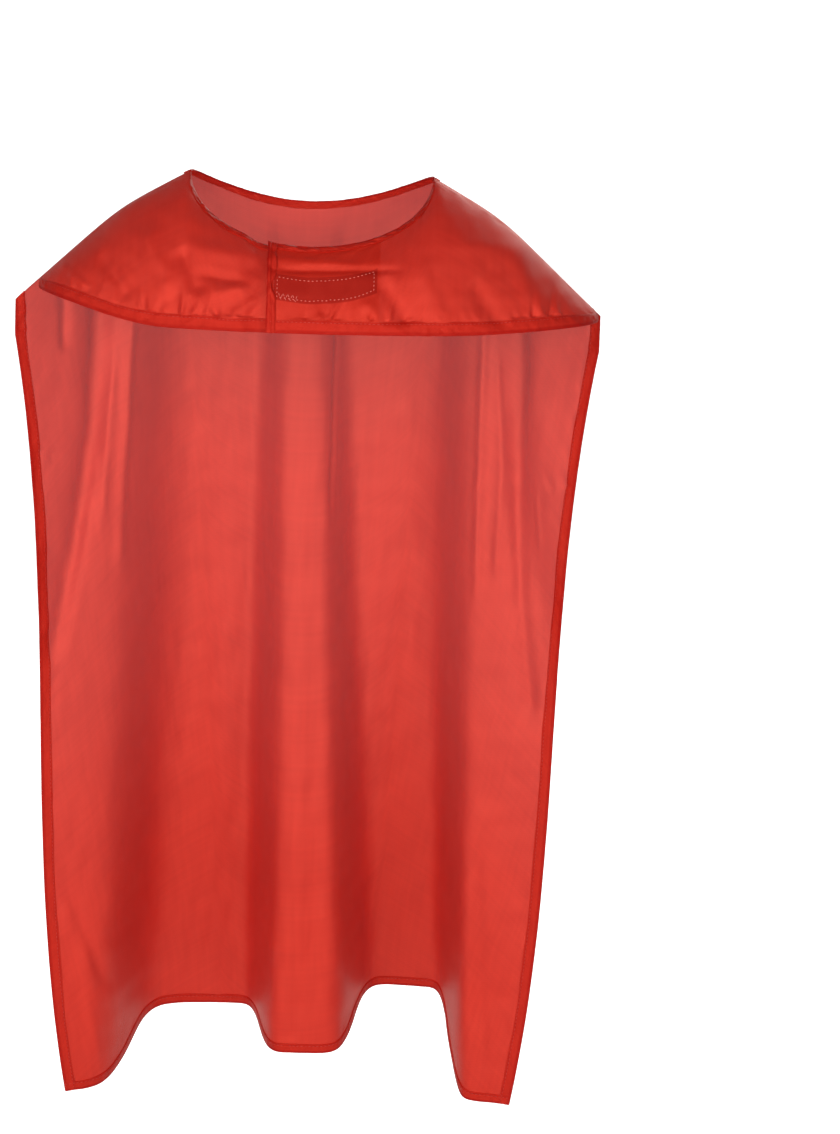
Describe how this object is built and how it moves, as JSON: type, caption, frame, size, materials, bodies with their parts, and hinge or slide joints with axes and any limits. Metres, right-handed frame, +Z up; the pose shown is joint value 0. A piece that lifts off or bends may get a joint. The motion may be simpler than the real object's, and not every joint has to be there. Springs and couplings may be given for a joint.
{
  "type": "superhero cape",
  "caption": "Short red costume cape of sheer satin: two overlapping front flaps with hook and loop closure, and a long folded back that hangs free.",
  "frame": {"origin": "middle of the neck opening, level with its two side points, where the cape rests on the wearer", "axes": "+Z up; the wearer faces -Y; +X is the wearer's left"},
  "size_m": [0.432, 0.2219, 0.7254],
  "materials": {
    "cloth": "sheer satin, plain weave, soft sheen, slightly see-through in one layer",
    "hem_cloth": "the same satin turned under twice and stitched",
    "rolled_edge": "the same satin rolled to a narrow edge",
    "thread": "matte polyester sewing thread",
    "tape_thread": "lighter matte polyester sewing thread",
    "hook_tape": "woven tape with fine stiff hooks",
    "loop_tape": "woven tape with a soft looped pile"
  },
  "bodies": {
    "shoulders": {"back_yoke": "cloth", "left_front_shoulder": "cloth", "left_shoulder_hem": "hem_cloth", "left_shoulder_hem_thread": "thread", "left_tip_hem": "hem_cloth", "neck_rolled_edge": "rolled_edge", "right_front_shoulder": "cloth", "right_shoulder_hem": "hem_cloth", "right_shoulder_hem_thread": "thread", "right_tip_hem": "hem_cloth"},
    "tail": {"tail_panel": "cloth", "bottom_hem": "hem_cloth", "left_side_hem": "hem_cloth", "right_side_hem": "hem_cloth", "tail_hem_thread": "thread"},
    "over_flap": {"over_flap_cloth": "cloth", "over_flap_end_roll": "rolled_edge", "over_flap_front_hem": "hem_cloth", "over_flap_hem_thread": "thread", "over_flap_neck_roll": "rolled_edge", "hook_tape": "hook_tape", "hook_tape_thread": "tape_thread"},
    "under_flap": {"under_flap_cloth": "cloth", "under_flap_end_roll": "rolled_edge", "under_flap_front_hem": "hem_cloth", "under_flap_hem_thread": "thread", "under_flap_neck_roll": "rolled_edge", "loop_tape": "loop_tape", "loop_tape_thread": "tape_thread"}
  },
  "joints": [
    {"name": "tail_swing", "type": "hinge", "parent": "shoulders", "child": "tail", "pos_m": [0, 0.08158, -0.125], "axis": [1, 0, 0], "range_deg": [0, 45]},
    {"name": "over_flap_opening", "type": "hinge", "parent": "shoulders", "child": "over_flap", "pos_m": [0.078, -0.0681, -0.05598], "axis": [0, 0.5545, 0.8322], "range_deg": [0, 110]},
    {"name": "under_flap_opening", "type": "hinge", "parent": "shoulders", "child": "under_flap", "pos_m": [-0.078, -0.0675, -0.05617], "axis": [0, 0.5471, 0.8371], "range_deg": [-17, 0]}
  ],
  "couplings": [
    {"joint": "under_flap_opening", "follows": "over_flap_opening", "ratio": -0.15}
  ]
}
